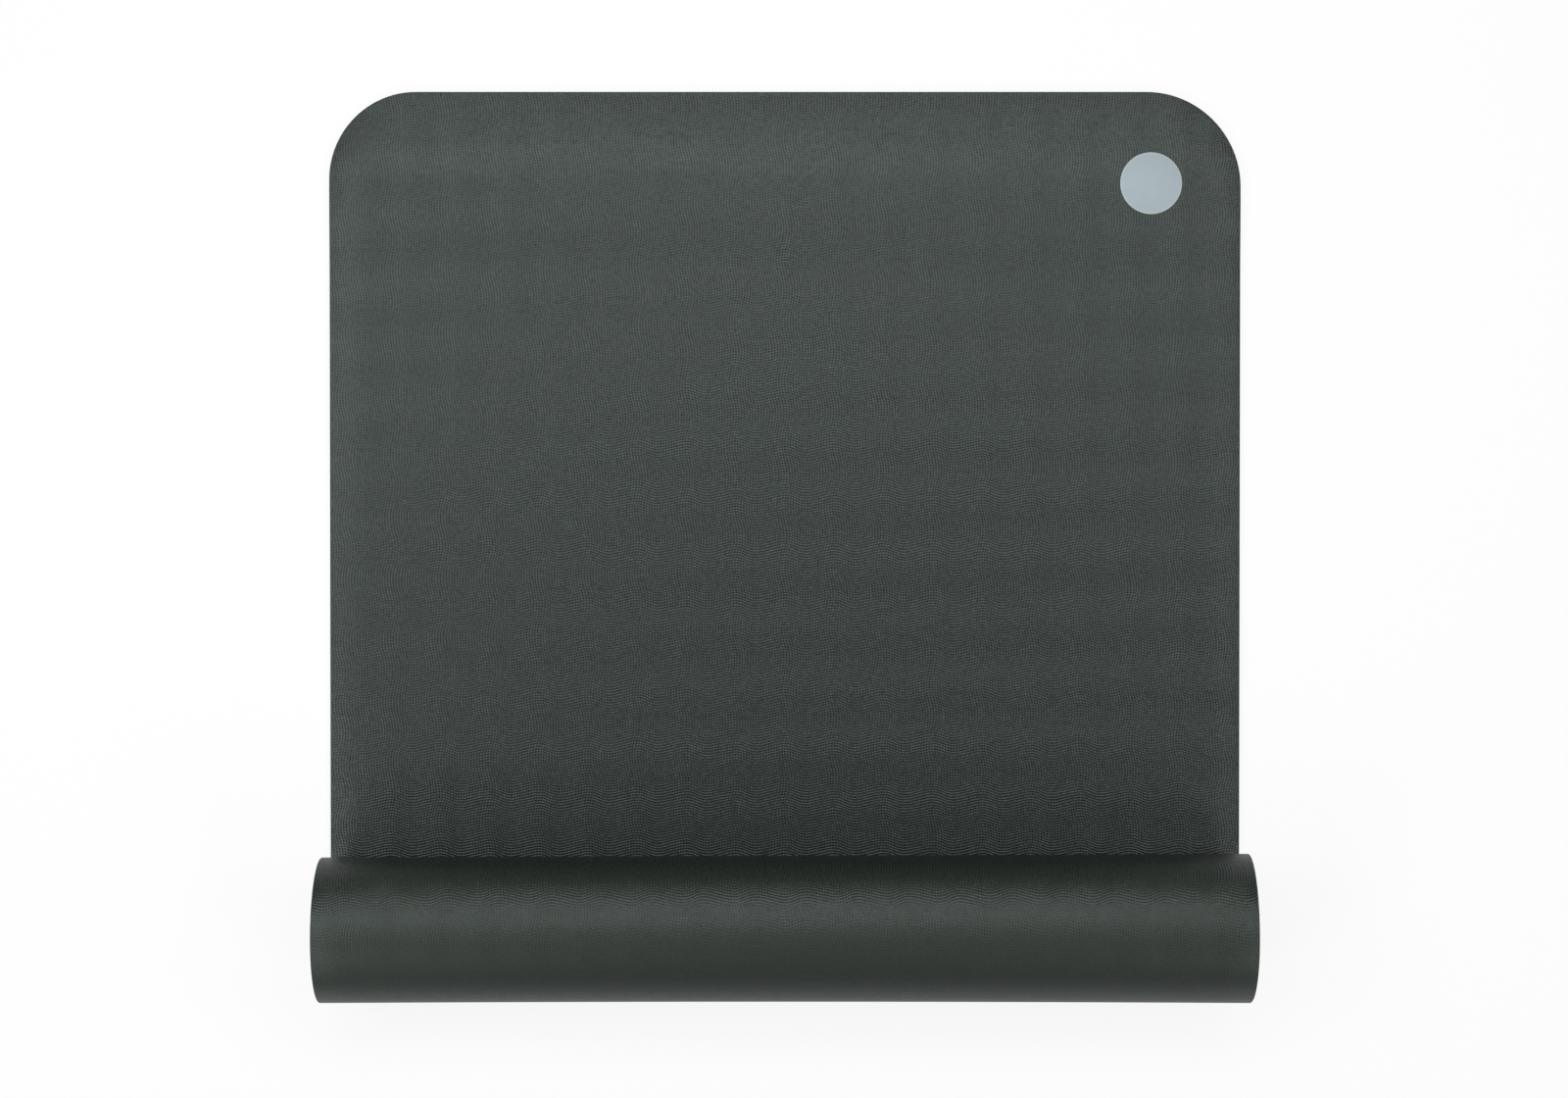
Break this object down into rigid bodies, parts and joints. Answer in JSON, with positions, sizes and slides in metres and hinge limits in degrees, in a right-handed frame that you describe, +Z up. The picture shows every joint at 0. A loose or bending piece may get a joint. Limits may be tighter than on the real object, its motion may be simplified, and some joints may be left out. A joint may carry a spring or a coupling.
{
  "type": "yoga mat",
  "caption": "Thin dark rubber exercise mat laid flat with rounded corners at its far end, its near end wound into a roll on top, and a small round printed patch near one corner.",
  "frame": {"origin": "centre of the bounding box's footprint, on the floor under the flat part", "axes": "+X across the mat, along the roll; +Y along the mat, away from the roll; +Z up"},
  "size_m": [0.6, 0.5932, 0.0938],
  "materials": {
    "mat_rubber": "matte dark grey-green natural rubber with a fine embossed grain on both faces",
    "print": "smooth pale blue-grey rubber inlay, plain and unmarked"
  },
  "bodies": {
    "mat": {"flat_sheet": "mat_rubber", "first_bend": "mat_rubber", "round_print": "print"},
    "wrap_1": {"outer_wrap_1": "mat_rubber"},
    "wrap_2": {"outer_wrap_2": "mat_rubber"},
    "wrap_3": {"outer_wrap_3": "mat_rubber"},
    "wrap_4": {"outer_wrap_4": "mat_rubber"},
    "wrap_5": {"outer_wrap_5": "mat_rubber"},
    "wrap_6": {"outer_wrap_6": "mat_rubber"},
    "wrap_7": {"outer_wrap_7": "mat_rubber"},
    "roll": {"wound_roll": "mat_rubber"}
  },
  "joints": [
    {"name": "bend_1", "type": "hinge", "parent": "mat", "child": "wrap_1", "pos_m": [0, -0.25798, 0.00259], "axis": [1, 0, 0], "range_deg": [0, 22.5]},
    {"name": "bend_2", "type": "hinge", "parent": "wrap_1", "child": "wrap_2", "pos_m": [0, -0.27457, 0.00946], "axis": [1, 0, 0], "range_deg": [0, 22.5]},
    {"name": "bend_3", "type": "hinge", "parent": "wrap_2", "child": "wrap_3", "pos_m": [0, -0.28719, 0.02208], "axis": [1, 0, 0], "range_deg": [0, 22.5]},
    {"name": "bend_4", "type": "hinge", "parent": "wrap_3", "child": "wrap_4", "pos_m": [0, -0.29398, 0.03847], "axis": [1, 0, 0], "range_deg": [0, 22.5]},
    {"name": "bend_5", "type": "hinge", "parent": "wrap_4", "child": "wrap_5", "pos_m": [0, -0.29398, 0.0561], "axis": [1, 0, 0], "range_deg": [0, 22.5]},
    {"name": "bend_6", "type": "hinge", "parent": "wrap_5", "child": "wrap_6", "pos_m": [0, -0.28727, 0.07229], "axis": [1, 0, 0], "range_deg": [0, 22.5]},
    {"name": "bend_7", "type": "hinge", "parent": "wrap_6", "child": "wrap_7", "pos_m": [0, -0.27496, 0.0846], "axis": [1, 0, 0], "range_deg": [0, 22.5]},
    {"name": "bend_8", "type": "hinge", "parent": "wrap_7", "child": "roll", "pos_m": [0, -0.25897, 0.09123], "axis": [1, 0, 0], "range_deg": [0, 22.5]}
  ]
}
